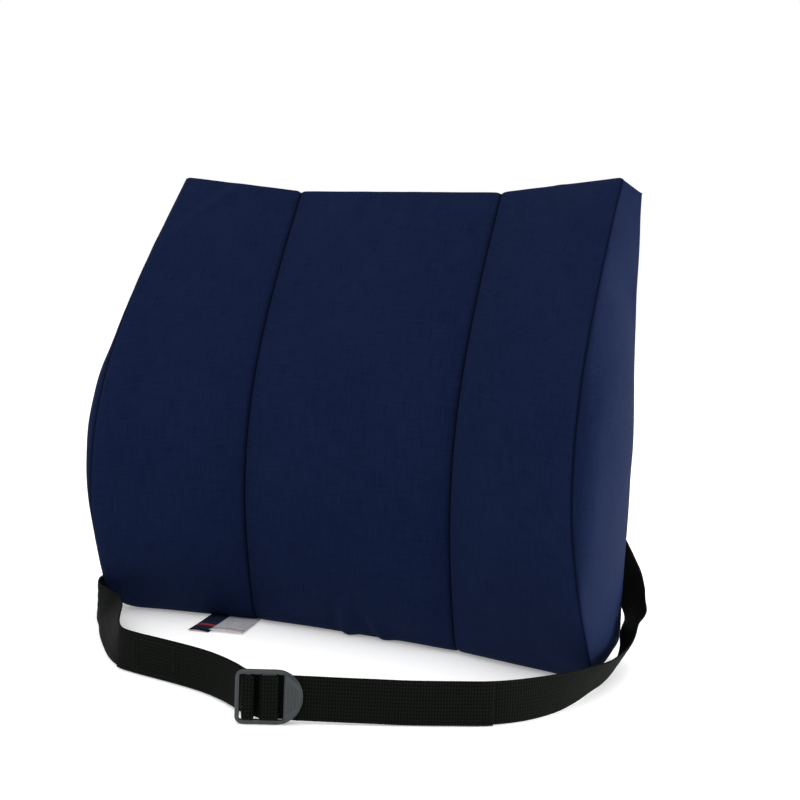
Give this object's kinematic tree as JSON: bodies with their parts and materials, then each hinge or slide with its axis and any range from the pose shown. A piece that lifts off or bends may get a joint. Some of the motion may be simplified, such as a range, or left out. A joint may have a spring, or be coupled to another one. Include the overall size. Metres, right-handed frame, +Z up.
{
  "type": "lumbar support cushion",
  "caption": "Lumbar support back cushion: foam core in a navy zipped cloth cover with three-panel concave front, side gussets and a black webbing strap with a ladder-lock buckle.",
  "frame": {"origin": "on the underside, on the centre line, 35 mm in front of the flat back", "axes": "+Z up, the concave front faces -Y, +X to the right when seen from the front"},
  "size_m": [0.4013, 0.2672, 0.322],
  "materials": {
    "cover_cloth": "matte",
    "foam": "matte",
    "zip_tape": "matte",
    "zip_teeth": "satin",
    "zip_metal": "satin",
    "care_satin": "satin",
    "label_cloth": "satin",
    "webbing": "satin",
    "thread": "satin",
    "buckle_plastic": "satin"
  },
  "bodies": {
    "cushion": {"foam_core": "foam", "cover_front_centre": "cover_cloth", "cover_front_left": "cover_cloth", "cover_front_right": "cover_cloth", "cover_side_left": "cover_cloth", "cover_side_right": "cover_cloth", "cover_back_upper": "cover_cloth", "cover_back_lower": "cover_cloth", "cover_base": "cover_cloth", "zip_tape_upper": "zip_tape", "zip_tape_lower": "zip_tape", "zip_teeth_upper": "zip_teeth", "zip_teeth_lower": "zip_teeth", "zip_stops": "zip_metal", "care_tag": "care_satin", "label_tag": "label_cloth", "strap_anchor_left": "webbing", "strap_anchor_right": "webbing", "anchor_bar_tacks": "thread"},
    "zip_runner": {"zip_slider": "zip_metal"},
    "zip_tab": {"zip_pull": "zip_metal"},
    "strap_loop": {"strap_left": "webbing", "strap_left_fold": "webbing", "fold_stitching": "thread", "strap_right": "webbing", "strap_right_tail": "webbing"},
    "strap_adjuster": {"buckle": "buckle_plastic"}
  },
  "joints": [
    {"name": "zip_slide", "type": "slide", "parent": "cushion", "child": "zip_runner", "axis": [-1, 0, 0], "range_m": [0, 0.27]},
    {"name": "zip_pull_flip", "type": "hinge", "parent": "zip_runner", "child": "zip_tab", "pos_m": [0.138, 0.0386, 0.06], "axis": [0, 0, -1], "range_deg": [0, 140]},
    {"name": "strap_swing", "type": "hinge", "parent": "cushion", "child": "strap_loop", "pos_m": [0, 0.0384, 0.0912], "axis": [1, 0, 0], "range_deg": [0, 140]},
    {"name": "buckle_slide", "type": "slide", "parent": "strap_loop", "child": "strap_adjuster", "axis": [0.8829, 0.4695, 0], "range_m": [-0.012, 0.012], "deforming": ["strap_left", "strap_right", "strap_left_fold", "strap_right_tail", "fold_stitching"]}
  ]
}
